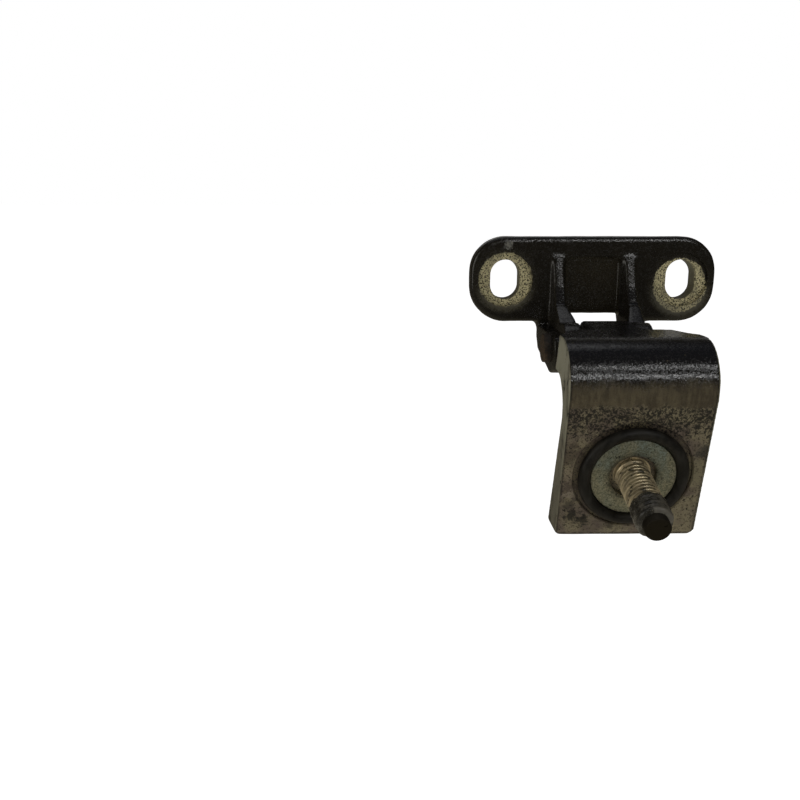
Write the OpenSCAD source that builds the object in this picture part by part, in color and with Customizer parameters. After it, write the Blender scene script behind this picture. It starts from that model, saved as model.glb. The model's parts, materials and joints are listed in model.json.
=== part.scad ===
// Surface-mounted hatch hinge: a cast bracket with two slotted holes, a riveted pin and a
// gooseneck leaf that carries a threaded stud with its rubber sealing ring and clamp disc.
// Millimetres. X runs along the pin, -Y points away from the mounting surface and +Z is up.
// The origin is the centre of the plate's back face. The leaf is drawn in its closed position.

/* [Mounting plate] */
// Length of the plate
plate_l = 69.8; // [68:0.2:76]
// Height of the plate
plate_h = 24; // [23:0.2:27]
// Thickness of the plate
plate_t = 6.5; // [6:0.1:8]
// Radius of the plate's corners
plate_corner_r = 10; // [8:0.2:11]
// Radius of the plate's front edge
plate_edge = 1.8; // [0.5:0.1:2]

/* [Fixing slots] */
// Distance between the centres of the two slots
slot_spacing = 50; // [49:0.5:52]
// Width of a slot
slot_w = 8.4; // [6.4:0.2:9]
// Height of a slot from end to end
slot_h = 11.2; // [10:0.2:13]
// Diameter of the machined seat round a slot
seat_d = 15.2; // [14:0.2:17]
// Depth of the machined seat
seat_depth = 0.9; // [0.4:0.1:1.5]

/* [Pocket and ribs] */
// Width of the pocket between the ribs
pocket_w = 15.6; // [13:0.2:16]
// Depth of the pocket
pocket_depth = 2.3; // [1:0.1:3]
// Radius of the pocket's corners
pocket_r = 1.6; // [1:0.1:3]
// Height of the pocket's top edge above the plate's centre
pocket_top = 6.2; // [4:0.2:7]
// Distance of the web's lower edge below the plate's centre
web_drop = 9.9; // [9:0.1:10.4]
// Distance of a rib's middle from the plate's centre
rib_offset = 10.2; // [10:0.1:10.6]
// Thickness of a rib
rib_t = 3.3; // [2.5:0.1:3.6]
// Height of the ribs' top end above the plate's centre
rib_top = 7; // [5:0.2:8]

/* [Pin and ears] */
// Distance of the pin's axis in front of the plate's back face
pin_reach = 22.7; // [22:0.1:24]
// Distance of the pin's axis below the plate's centre
pin_drop = 16.8; // [16.4:0.1:17.4]
// Diameter of the pin
pin_d = 6; // [5:0.1:6.4]
// Diameter of the pin's head
pin_head_d = 7.8; // [7:0.1:8.4]
// Thickness of the pin's head
pin_head_t = 2; // [1.4:0.1:2.2]
// Distance between the ears' inner faces
ear_gap = 13.9; // [13.5:0.1:14.3]
// Radius of the round end of each ear
ear_r = 6.8; // [6:0.1:7]
// Width over both ears
ear_span = 29.8; // [29:0.2:31]
// Height of the ears' shoulders below the plate's centre
ear_shoulder = 13.2; // [12:0.1:14]
// Width over the two ears above their shoulders
ear_upper_span = 23.8; // [23.8:0.2:27]

/* [Bushes] */
// Wall thickness of a bush
bush_wall = 0.95; // [0.8:0.05:1.2]
// Thickness of a bush's flange
bush_flange_t = 0.7; // [0.5:0.1:1]
// Diameter of a bush's flange
bush_flange_d = 12; // [10:0.5:13]

/* [Leaf] */
// Width of the leaf's wide part
leaf_w = 34.6; // [32:0.2:38]
// Radius of the knuckle, and height of the leaf's top above the pin
knuckle_r = 7.2; // [6.8:0.1:7.4]
// Thickness of the neck between the knuckle and the bend
neck_t = 9; // [8:0.1:10]
// Outer radius of the bend
bend_r = 11; // [10:0.5:12]
// Inner radius of the bend
hollow_r = 8; // [7:0.5:8.5]
// Lean of the leaf's flat from vertical
flat_tilt = 14.5; // [12:0.5:16]
// Angle between the flat's front and its back
flat_taper = 7; // [5:0.5:8]
// Thickness of the flat at the stud
flat_t = 6.8; // [6.4:0.1:7.5]
// Height of the leaf's lower edge below the plate's centre
foot_drop = 59.3; // [59:0.1:62]
// Radius of the leaf's lower corners
foot_corner_r = 1.8; // [1:0.1:4]

/* [Stud, seal and disc] */
// Distance of the stud's foot in front of the plate's back face
stud_reach = 55.6; // [54:0.2:58]
// Distance of the stud's foot below the plate's centre
stud_drop = 42.2; // [41.5:0.2:43]
// Diameter of the stud's thread
stud_d = 8; // [6:1:8]
// Length of the stud in front of the flat
stud_l = 21.9; // [18:0.1:26]
// Length of the coated stretch of thread
coat_l = 6; // [4:0.5:8]
// Diameter of the stud's dog point
dog_d = 5.9; // [4:0.1:6]
// Length of the stud's dog point
dog_l = 2.4; // [1.5:0.1:3]
// Diameter of the ring's shallow seat
ring_seat_d = 28.6; // [27.6:0.2:30]
// Depth of the ring's seat
ring_seat_depth = 1; // [0.6:0.1:1.2]
// Diameter of the ring along the middle of its section
ring_d = 23.6; // [23.4:0.1:24]
// Diameter of the ring's section
ring_section = 3; // [2:0.1:3]
// Diameter of the clamp disc
disc_d = 20.4; // [18:0.2:20.4]
// Thickness of the clamp disc
disc_t = 1.8; // [1.2:0.1:2.4]
// Diameter of the hole in the clamp disc
disc_hole_d = 11.2; // [10.4:0.1:12]

/* [Hidden] */
$fn = 72;
past = 1;
clear = 5;
overlap = 0.01;

pin_v = -pin_drop;
top_v = pin_v + knuckle_r;
running_clearance = 0.05;
flange_gap = 0.15;
tongue_w = ear_gap - 2 * (bush_flange_t + flange_gap);
bush_r = pin_d / 2 + running_clearance + bush_wall;
bush_gap = 0.3;
bush_l = tongue_w / 2 - bush_gap;
peened_r = pin_head_d / 2 - 0.45;
peened_t = pin_head_t - 0.6;
rib_inner = rib_offset - rib_t / 2;

// The ears' side view, as distances forward and heights
rib_step = [plate_t + 3.1, -1.2];
rib_waist = [plate_t + 6.3, -6.4];
ear_throat = [pin_reach - 3, pin_v + ear_r - 0.7];
ear_crest_v = -6.5;
ear_crest_f = rib_waist[0] + 0.7;
ear_flare_v = -10.3;
arm_back = 0.8;
arm_chin = [3.6, pin_v - 3.4];
web_fillet_r = 2.4;
fillet_root = (ear_span - ear_upper_span) / 2 + past;
notch_r = 1;

// The leaf's side view: the front line leans by flat_tilt and the back line by more
back_tilt = flat_tilt + flat_taper;
stud_v = -stud_drop;
foot_v = -foot_drop;
bend_v = top_v - bend_r;
bend_f = stud_reach - (bend_r - (bend_v - stud_v) * sin(flat_tilt)) / cos(flat_tilt);
neck_v = top_v - neck_t;
hollow_v = neck_v - hollow_r;
back_at_stud = [stud_reach - flat_t * cos(flat_tilt), stud_v + flat_t * sin(flat_tilt)];
back_level = back_at_stud[0] * cos(back_tilt) - back_at_stud[1] * sin(back_tilt);
hollow_f = (back_level - hollow_r + hollow_v * sin(back_tilt)) / cos(back_tilt);
foot_bevel = 1.8;
heel_r = 2;
wide_top_f = bend_f - 2.2;
wide_back_f = wide_top_f - 3.8;
far_f = stud_reach + 30;
// How much wider each side of the tongue gets, at distances in front of the pin
tongue_flare = [[0, 0], [0, 13.4], [1.2, 14.8], [6.8, 15.2], [9.1, 21.2], [11, 23.4]];
stud_bore_r = stud_d / 2 + 0.6;
stud_head_r = 7;
stud_head_t = 2.4;
head_recess_r = stud_head_r + 0.4;
collar_r = 4.6;
collar_h = 1.2;
collar_edge = 0.4;
dog_edge = 0.3;
coat_t = 0.3;
dog_cone = 0.7;

function front_f(v) = stud_reach + (v - stud_v) * tan(flat_tilt);
function back_f(v) = back_at_stud[0] + (v - back_at_stud[1]) * tan(back_tilt);

// Turns an outline of forward distances and heights into a solid of that width along X
module across(w) {
    rotate([90, 0, -90])
        linear_extrude(height = w, center = true)
            children();
}

// A solid standing on the plate's back face from an outline seen from the front
module forward(from, to) {
    rotate([90, 0, 0])
        translate([0, 0, from])
            linear_extrude(height = to - from)
                children();
}

// A cylinder along X
module axle(r, x0, x1) {
    translate([x0, -pin_reach, pin_v])
        rotate([0, 90, 0])
            cylinder(r = r, h = x1 - x0);
}

// Places children on the leaf's flat, with +Z along the stud
module on_flat() {
    translate([0, -stud_reach, stud_v])
        rotate([90 + flat_tilt, 0, 0])
            children();
}

module rounded_plate(l, h, r) {
    square([l - 2 * r, h], center = true);
    square([l, h - 2 * r], center = true);
    for (x = [-1, 1], z = [-1, 1])
        translate([x * (l / 2 - r), z * (h / 2 - r)])
            circle(r = r);
}

module slot_outline() {
    square([slot_w, slot_h - slot_w], center = true);
    for (z = [-1, 1])
        translate([0, z * (slot_h - slot_w) / 2])
            circle(d = slot_w);
}

module plate() {
    edge_steps = 4;
    straight_t = plate_t - plate_edge;
    forward(0, straight_t)
        rounded_plate(plate_l, plate_h, plate_corner_r);
    for (i = [1:edge_steps])
        forward(straight_t - overlap, straight_t + plate_edge * sin(90 * i / edge_steps))
            rounded_plate(
                plate_l - 2 * plate_edge * (1 - cos(90 * (i - 1) / edge_steps)),
                plate_h - 2 * plate_edge * (1 - cos(90 * (i - 1) / edge_steps)),
                plate_corner_r - plate_edge * (1 - cos(90 * (i - 1) / edge_steps)));
}

// Side view of a rib, from the plate down to the arm
module rib_side() {
    polygon([[0, rib_top], [plate_t, rib_top], rib_step, rib_waist, ear_throat,
             [ear_throat[0], pin_v], [arm_back, pin_v]]);
}

// Side view of an ear: the arm behind the pin and the round end
module ear_side() {
    polygon([[arm_back, ear_crest_v], [ear_crest_f, ear_crest_v], ear_throat,
             [pin_reach, pin_v], [pin_reach, pin_v - ear_r], arm_chin, [arm_back, pin_v]]);
    translate([pin_reach, pin_v])
        circle(r = ear_r);
}

// Front view of an ear: it flares inwards under the rib and steps out at the shoulder
module ear_front() {
    low = -2 * plate_h;
    polygon([[rib_offset, ear_crest_v + past], [rib_inner, ear_crest_v],
             [ear_gap / 2, ear_flare_v], [ear_gap / 2, low], [ear_span / 2, low],
             [ear_span / 2, -ear_shoulder], [ear_upper_span / 2, -ear_shoulder],
             [ear_upper_span / 2, ear_crest_v + past]]);
}

// One rib with its ear, on the +X side
module rib_and_ear() {
    translate([rib_offset, 0, 0])
        across(rib_t)
            rib_side();
    intersection() {
        across(ear_span)
            ear_side();
        forward(0, pin_reach + 2 * ear_r)
            ear_front();
    }
    // Concave fillet between the plate's lower edge and the arm
    translate([ear_span / 2, 0, -plate_h / 2])
        forward(0, plate_t - plate_edge)
            difference() {
                translate([-fillet_root, -web_fillet_r])
                    square([web_fillet_r + fillet_root, web_fillet_r + past]);
                translate([web_fillet_r, -web_fillet_r])
                    circle(r = web_fillet_r);
            }
}

module mounting_bracket() {
    color("#17171a")
        difference() {
            union() {
                plate();
                rib_and_ear();
                mirror([1, 0, 0])
                    rib_and_ear();
            }
            for (x = [-1, 1])
                translate([x * slot_spacing / 2, 0, 0]) {
                    forward(-past, plate_t + past)
                        slot_outline();
                    forward(plate_t - seat_depth, plate_t + past)
                        circle(d = seat_d);
                }
            // Pocket in the plate's face, and the notch that the knuckle turns in
            forward(plate_t - pocket_depth, plate_t + past)
                translate([0, pocket_top - plate_h / 2])
                    rounded_plate(pocket_w, plate_h, pocket_r);
            forward(-past, plate_t + past)
                translate([0, -web_drop - plate_h / 2])
                    rounded_plate(2 * rib_inner, plate_h, notch_r);
            axle(pin_d / 2, -ear_span / 2 - past, ear_span / 2 + past);
        }
}

// Riveted pin: a flat head on the left and a peened one on the right
module hinge_pin() {
    head_edge = 0.4;
    end = ear_span / 2;
    color("#6b5a4c") {
        axle(pin_d / 2, -end - past / 2, end + past / 2);
        translate([-end, -pin_reach, pin_v])
            rotate([0, -90, 0])
                rotate_extrude()
                    polygon([[0, 0], [pin_head_d / 2, 0], [pin_head_d / 2, pin_head_t - head_edge],
                             [pin_head_d / 2 - head_edge, pin_head_t], [0, pin_head_t]]);
        translate([end, -pin_reach, pin_v])
            rotate([0, 90, 0])
                rotate_extrude()
                    polygon([[0, 0], [peened_r, 0], [peened_r, peened_t - head_edge],
                             [peened_r - head_edge, peened_t], [0, peened_t]]);
    }
}

// Flanged bush pressed into the right side of the knuckle
module bush() {
    color("#8a7a50")
        difference() {
            union() {
                axle(bush_r, tongue_w / 2 - bush_l, tongue_w / 2);
                axle(bush_flange_d / 2, tongue_w / 2, tongue_w / 2 + bush_flange_t);
            }
            axle(pin_d / 2 + running_clearance, -past, tongue_w);
        }
}

module bush_right() {
    bush();
}

module bush_left() {
    mirror([1, 0, 0])
        bush();
}

// Side view of the hollow behind the flat
module hollow_side() {
    low = foot_v - clear;
    translate([hollow_f, hollow_v])
        circle(r = hollow_r);
    polygon([[0, neck_v], [hollow_f, neck_v], [hollow_f, hollow_v],
             [hollow_f + hollow_r * cos(back_tilt), hollow_v - hollow_r * sin(back_tilt)],
             [back_f(foot_v + heel_r), foot_v + heel_r], [back_f(foot_v + heel_r), low], [0, low]]);
}

// Side view of the gooseneck from the pin to the foot, solid in front of the hollow
module gooseneck_side() {
    heel_f = back_f(foot_v + heel_r);
    difference() {
        union() {
            translate([bend_f, bend_v])
                circle(r = bend_r);
            polygon([[pin_reach, top_v], [bend_f, top_v],
                     [bend_f + bend_r * cos(flat_tilt), bend_v - bend_r * sin(flat_tilt)],
                     [front_f(foot_v + foot_bevel), foot_v + foot_bevel],
                     [front_f(foot_v) - foot_bevel / 2, foot_v],
                     [heel_f + heel_r / 2, foot_v], [heel_f, foot_v + heel_r / 2],
                     [pin_reach, neck_v]]);
        }
        hollow_side();
    }
}

// Everything in front of the sloping cut at the back of the wide part
module wide_side() {
    polygon([[wide_top_f, 0], [wide_top_f, top_v], [wide_back_f, neck_v], [wide_back_f, neck_v - past],
             [0, neck_v - past], [0, foot_v - past], [far_f, foot_v - past], [far_f, 0]]);
}

// Front view of the leaf's outline, with round lower corners
module leaf_front() {
    top = -foot_v;
    translate([-leaf_w / 2, foot_v + foot_corner_r])
        square([leaf_w, top]);
    translate([-leaf_w / 2 + foot_corner_r, foot_v])
        square([leaf_w - 2 * foot_corner_r, top]);
    for (x = [-1, 1])
        translate([x * (leaf_w / 2 - foot_corner_r), foot_v + foot_corner_r])
            circle(r = foot_corner_r);
}

// Top view of the tongue, which flares from the knuckle to the wide part
module tongue_plan() {
    half = [for (step = tongue_flare) [tongue_w / 2 + step[0], -pin_reach - step[1]]];
    front = [[half[len(half) - 1][0], -bend_f], [-half[len(half) - 1][0], -bend_f]];
    other = [for (i = [len(half) - 1:-1:0]) [-half[i][0], half[i][1]]];
    polygon(concat(half, front, other));
}

module hinge_leaf() {
    color("#3a3936")
        difference() {
            union() {
                intersection() {
                    across(leaf_w)
                        intersection() {
                            gooseneck_side();
                            wide_side();
                        }
                    forward(0, far_f)
                        leaf_front();
                }
                intersection() {
                    across(leaf_w)
                        gooseneck_side();
                    translate([0, 0, neck_v - past])
                        linear_extrude(height = neck_t + 2 * past)
                            tongue_plan();
                }
                axle(knuckle_r, -tongue_w / 2, tongue_w / 2);
            }
            axle(bush_r, -ear_gap, ear_gap);
            on_flat() {
                translate([0, 0, -ring_seat_depth])
                    cylinder(d = ring_seat_d, h = ring_seat_depth + clear);
                translate([0, 0, -2 * flat_t])
                    cylinder(r = stud_bore_r, h = 2 * flat_t + past);
                translate([0, 0, -flat_t - 2 * clear])
                    cylinder(r = head_recess_r, h = 2 * clear + stud_head_t);
            }
        }
}

module seal_ring() {
    color("#101010")
        on_flat()
            translate([0, 0, ring_section / 2 - ring_seat_depth])
                rotate_extrude()
                    translate([ring_d / 2, 0])
                        circle(d = ring_section);
}

module clamp_disc() {
    color("#8f9492")
        on_flat()
            translate([0, 0, -ring_seat_depth])
                difference() {
                    cylinder(d = disc_d, h = disc_t);
                    translate([0, 0, -past])
                        cylinder(d = disc_hole_d, h = disc_t + 2 * past);
                }
}

// Stud pressed in from behind, with a round head, a collar and a dog point
module glass_stud() {
    r = stud_d / 2;
    coat_end = stud_l - dog_l - dog_cone;
    coat_start = coat_end - coat_l;
    color("#8c7b58")
        on_flat()
            rotate_extrude()
                polygon([[0, -flat_t], [stud_head_r, -flat_t], [stud_head_r, -flat_t + stud_head_t],
                         [stud_bore_r, -flat_t + stud_head_t], [stud_bore_r, -ring_seat_depth],
                         [collar_r, -ring_seat_depth], [collar_r, collar_h - collar_edge],
                         [collar_r - collar_edge, collar_h],
                         [r, collar_h], [r, coat_start], [r - coat_t, coat_start], [r - coat_t, coat_end],
                         [dog_d / 2, coat_end + dog_cone], [dog_d / 2, stud_l - dog_edge],
                         [dog_d / 2 - dog_edge, stud_l], [0, stud_l]]);
}

// Sleeve of thread-locking compound on the last stretch of thread
module thread_coating() {
    coat_end = stud_l - dog_l - dog_cone;
    color("#151413")
        on_flat()
            translate([0, 0, coat_end - coat_l])
                difference() {
                    cylinder(d = stud_d, h = coat_l);
                    translate([0, 0, -past])
                        cylinder(r = stud_d / 2 - coat_t, h = coat_l + 2 * past);
                }
}

mounting_bracket();
hinge_pin();
bush_left();
bush_right();
hinge_leaf();
seal_ring();
clamp_disc();
glass_stud();
thread_coating();
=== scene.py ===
"""Looks of a surface-mounted hatch hinge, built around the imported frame.

The bracket and the leaf start from copies of the frame's own solids and are finished as a
casting and a forging; the turned pieces are modelled from their sections. Metres throughout.
"""

import json
import logging
import math
from dataclasses import dataclass
from enum import Enum

import bmesh
import bpy
import numpy as np
from mathutils import Matrix, Vector


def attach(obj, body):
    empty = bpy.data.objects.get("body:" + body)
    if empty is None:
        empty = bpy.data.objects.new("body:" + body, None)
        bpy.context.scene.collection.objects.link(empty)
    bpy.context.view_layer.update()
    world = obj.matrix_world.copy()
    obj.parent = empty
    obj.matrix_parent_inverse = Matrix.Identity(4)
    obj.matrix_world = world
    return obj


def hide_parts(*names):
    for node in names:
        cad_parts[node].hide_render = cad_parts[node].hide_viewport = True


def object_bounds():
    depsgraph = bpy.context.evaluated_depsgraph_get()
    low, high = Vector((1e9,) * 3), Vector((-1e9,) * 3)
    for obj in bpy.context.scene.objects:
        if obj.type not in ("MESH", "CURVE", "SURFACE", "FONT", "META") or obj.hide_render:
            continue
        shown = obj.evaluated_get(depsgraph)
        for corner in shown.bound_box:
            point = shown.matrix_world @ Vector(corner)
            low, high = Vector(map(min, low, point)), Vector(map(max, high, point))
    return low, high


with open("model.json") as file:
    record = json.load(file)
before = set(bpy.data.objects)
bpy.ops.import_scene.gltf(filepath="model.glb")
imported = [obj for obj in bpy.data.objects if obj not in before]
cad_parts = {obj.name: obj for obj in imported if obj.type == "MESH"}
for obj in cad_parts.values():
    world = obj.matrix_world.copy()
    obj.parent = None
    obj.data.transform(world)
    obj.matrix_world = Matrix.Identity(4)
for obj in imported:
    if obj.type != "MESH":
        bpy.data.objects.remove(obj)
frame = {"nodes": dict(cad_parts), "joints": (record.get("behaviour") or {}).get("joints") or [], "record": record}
CAD_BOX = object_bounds()

LOG = logging.getLogger("hatch_hinge")
MM = 0.001
TINY = 1e-6
FULL_TURN = 2 * math.pi

Piece = bpy.types.Object
Socket = bpy.types.NodeSocket
Sockets = bpy.types.NodeInputs
Point = tuple[float, float, float]
Rgb = tuple[float, float, float]
Section = list[tuple[float, float]]


class Body(Enum):
    """The two rigid bodies that pieces ride on."""

    BRACKET = "bracket"
    LEAF = "leaf"


class Slot(Enum):
    """The record's material slots."""

    PAINT = "black_paint"
    LEAF = "worn_leaf"
    PIN = "pin_steel"
    BUSH = "bush_bronze"
    RUBBER = "seal_rubber"
    DISC = "plated_disc"
    STUD = "stud_steel"
    COMPOUND = "thread_compound"


# ---------------------------------------------------------------- modelling tools


def deselect_all() -> None:
    """Leaves edit mode and deselects every object."""
    if bpy.context.object is not None and bpy.context.object.mode != "OBJECT":
        bpy.ops.object.mode_set(mode="OBJECT")
    bpy.ops.object.select_all(action="DESELECT")


def activate(piece: Piece) -> None:
    """Makes a piece the only selected and the active object.

    Args:
        piece: the object to select.
    """
    deselect_all()
    piece.select_set(True)
    bpy.context.view_layer.objects.active = piece


def apply_modifier(piece: Piece, kind: str, **settings: object) -> None:
    """Adds a modifier with these settings and applies it.

    Args:
        piece: the object to change.
        kind: Blender's name for the modifier type.
        settings: the modifier's properties.
    """
    activate(piece)
    modifier = piece.modifiers.new(kind.title(), kind)
    for name, value in settings.items():
        setattr(modifier, name, value)
    bpy.ops.object.modifier_apply(modifier=modifier.name)


def clean_up(piece: Piece, distance: float = 0.002 * MM) -> None:
    """Merges doubled points and turns all faces outwards.

    Args:
        piece: the object to change.
        distance: points nearer than this become one.
    """
    activate(piece)
    bpy.ops.object.mode_set(mode="EDIT")
    bpy.ops.mesh.select_all(action="SELECT")
    bpy.ops.mesh.remove_doubles(threshold=distance)
    bpy.ops.mesh.normals_make_consistent(inside=False)
    bpy.ops.object.mode_set(mode="OBJECT")


def smooth_shading(piece: Piece, degrees: float = 35.0) -> None:
    """Shades smooth across edges flatter than the angle."""
    activate(piece)
    bpy.ops.object.shade_smooth_by_angle(angle=math.radians(degrees))


def copy_of_node(node: str, name: str) -> Piece:
    """A merged copy of a frame node, free to be reshaped.

    Args:
        node: the frame node's name.
        name: the new piece's name.

    Returns:
        The copy, at the origin.
    """
    piece = bpy.data.objects.new(name, frame["nodes"][node].data.copy())
    piece.data.materials.clear()
    bpy.context.scene.collection.objects.link(piece)
    clean_up(piece)
    return piece


def join_into(piece: Piece, others: list[Piece]) -> None:
    """Joins other objects into a piece.

    Args:
        piece: the object to change.
        others: the objects that it takes in.
    """
    activate(piece)
    for other in others:
        other.select_set(True)
    bpy.ops.object.join()


def cut_away(piece: Piece, cutter: Piece) -> None:
    """Subtracts a closed cutter from a piece and removes the cutter."""
    apply_modifier(piece, "BOOLEAN", operation="DIFFERENCE", object=cutter, solver="EXACT")
    bpy.data.objects.remove(cutter)


def cylinder_between(start: Vector, end: Vector, radius: float, sides: int = 96) -> Piece:
    """A cylinder from one point to another, with its place in its mesh.

    Args:
        start: centre of one end.
        end: centre of the other end.
        radius: the cylinder's radius.
        sides: sides round it.

    Returns:
        The new object.
    """
    deselect_all()
    run = Vector(end) - Vector(start)
    bpy.ops.mesh.primitive_cylinder_add(
        vertices=sides,
        radius=radius,
        depth=run.length,
        location=(Vector(start) + Vector(end)) / 2,
        rotation=run.to_track_quat("Z", "Y").to_euler(),
    )
    bpy.ops.object.transform_apply(location=True, rotation=True, scale=True)
    return bpy.context.object


def draw_section(name: str, section: Section, closed: bool) -> Piece:
    """Draws a section in the XZ plane by extruding one point from corner to corner.

    Args:
        name: the new piece's name.
        section: distances from the axis and heights, in metres.
        closed: whether the last point joins the first.

    Returns:
        The drawn outline, at the origin, left in edit mode with all selected.
    """
    deselect_all()
    bpy.ops.mesh.primitive_plane_add(size=0.001)
    piece = bpy.context.object
    piece.name = piece.data.name = name
    bpy.ops.object.mode_set(mode="EDIT")
    bpy.ops.mesh.merge(type="CENTER")
    bpy.ops.transform.translate(value=(section[0][0], 0, section[0][1]))
    for (r0, z0), (r1, z1) in zip(section, section[1:]):
        bpy.ops.mesh.extrude_region_move(TRANSFORM_OT_translate={"value": (r1 - r0, 0, z1 - z0)})
    bpy.ops.mesh.select_all(action="SELECT")
    if closed:
        outline = bmesh.from_edit_mesh(piece.data)
        outline.verts.ensure_lookup_table()
        ends = [v for v in outline.verts if len(v.link_edges) == 1]
        for vertex in outline.verts:
            vertex.select_set(vertex in ends)
        outline.select_flush(False)
        bpy.ops.mesh.edge_face_add()
        bpy.ops.mesh.select_all(action="SELECT")
    return piece


def turn_on_lathe(name: str, section: Section, closed: bool = False, steps: int = 96) -> Piece:
    """Spins a section round the Z axis.

    Args:
        name: the new piece's name.
        section: distances from the axis and heights, in metres.
        closed: whether the section is a loop, as for a ring.
        steps: steps of the full turn.

    Returns:
        The turned solid, standing on the origin along Z.
    """
    piece = draw_section(name, section, closed)
    bpy.ops.mesh.spin(steps=steps, angle=FULL_TURN, center=(0, 0, 0), axis=(0, 0, 1))
    bpy.ops.object.mode_set(mode="OBJECT")
    clean_up(piece)
    return piece


def place(piece: Piece, where: Matrix) -> None:
    """Moves a piece into the row frame and keeps its object at the origin.

    Args:
        piece: the object to change.
        where: the piece's new frame.
    """
    activate(piece)
    piece.matrix_world = where
    bpy.ops.object.transform_apply(location=True, rotation=True, scale=True)


def roughen(
    piece: Piece, size: float, strength: float, depth: int = 2, level: float = 0.75
) -> None:
    """Pushes a surface in and out by a soft procedural pattern.

    Args:
        piece: the object to change.
        size: size of the lumps.
        strength: full height of the lumps.
        depth: octaves of finer lumps.
        level: the pattern's value that leaves a point in place.
    """
    lumps = bpy.data.textures.new(piece.name + "_lumps", "CLOUDS")
    lumps.noise_scale = size
    lumps.noise_depth = depth
    apply_modifier(
        piece, "DISPLACE", texture=lumps, strength=strength, mid_level=level, texture_coords="LOCAL"
    )
    bpy.data.textures.remove(lumps)


def recast(
    piece: Piece, voxel: float, smoothing: int, lump_size: float, lump_height: float
) -> None:
    """Rebuilds a solid as one smooth skin with low lumps.

    Args:
        piece: the object to change.
        voxel: size of the skin's cells.
        smoothing: smoothing passes, which round its edges and fill its corners.
        lump_size: size of the lumps.
        lump_height: full height of the lumps.
    """
    apply_modifier(piece, "REMESH", mode="VOXEL", voxel_size=voxel)
    apply_modifier(piece, "SMOOTH", factor=0.5, iterations=smoothing)
    roughen(piece, lump_size, lump_height)


def keep_in_box(piece: Piece) -> None:
    """Presses points that stand outside the frame's box back onto its faces.

    Args:
        piece: the object to change.
    """
    mesh = piece.data
    places = np.empty(len(mesh.vertices) * 3)
    mesh.vertices.foreach_get("co", places)
    low, high = (np.array(corner) for corner in CAD_BOX)
    mesh.vertices.foreach_set("co", np.clip(places.reshape(-1, 3), low, high).ravel())
    mesh.update()


def store_edge_wear(piece: Piece, passes: int = 4) -> None:
    """Stores how far each point stands out from its neighbours, as the attribute edge_wear.

    Args:
        piece: a finely divided mesh.
        passes: smoothing passes over the neighbours.
    """
    mesh = piece.data
    count = len(mesh.vertices)
    places = np.empty(count * 3)
    normals = np.empty(count * 3)
    ends = np.empty(len(mesh.edges) * 2, dtype=np.int64)
    mesh.vertices.foreach_get("co", places)
    mesh.vertices.foreach_get("normal", normals)
    mesh.edges.foreach_get("vertices", ends)
    places, normals, ends = places.reshape(-1, 3), normals.reshape(-1, 3), ends.reshape(-1, 2)
    run = places[ends[:, 1]] - places[ends[:, 0]]
    run /= np.maximum(np.linalg.norm(run, axis=1, keepdims=True), TINY)
    degree = np.maximum(np.bincount(ends.ravel(), minlength=count), 1)
    lean = np.zeros(count)
    np.add.at(lean, ends[:, 0], -(run * normals[ends[:, 0]]).sum(1))
    np.add.at(lean, ends[:, 1], (run * normals[ends[:, 1]]).sum(1))
    wear = lean / degree
    for _ in range(passes):
        spread = np.zeros(count)
        np.add.at(spread, ends[:, 0], wear[ends[:, 1]])
        np.add.at(spread, ends[:, 1], wear[ends[:, 0]])
        wear = (wear + spread / degree) / 2
    attribute = mesh.attributes.new("edge_wear", "FLOAT", "POINT")
    attribute.data.foreach_set("value", wear.astype(np.float32))


def close_up(piece: Piece) -> None:
    """Cleans a cut skin, keeps it in the frame's box, and stores its wear.

    Args:
        piece: the object to change.
    """
    clean_up(piece)
    keep_in_box(piece)
    store_edge_wear(piece)
    smooth_shading(piece, 40)


# ---------------------------------------------------------------- shader tools


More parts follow.
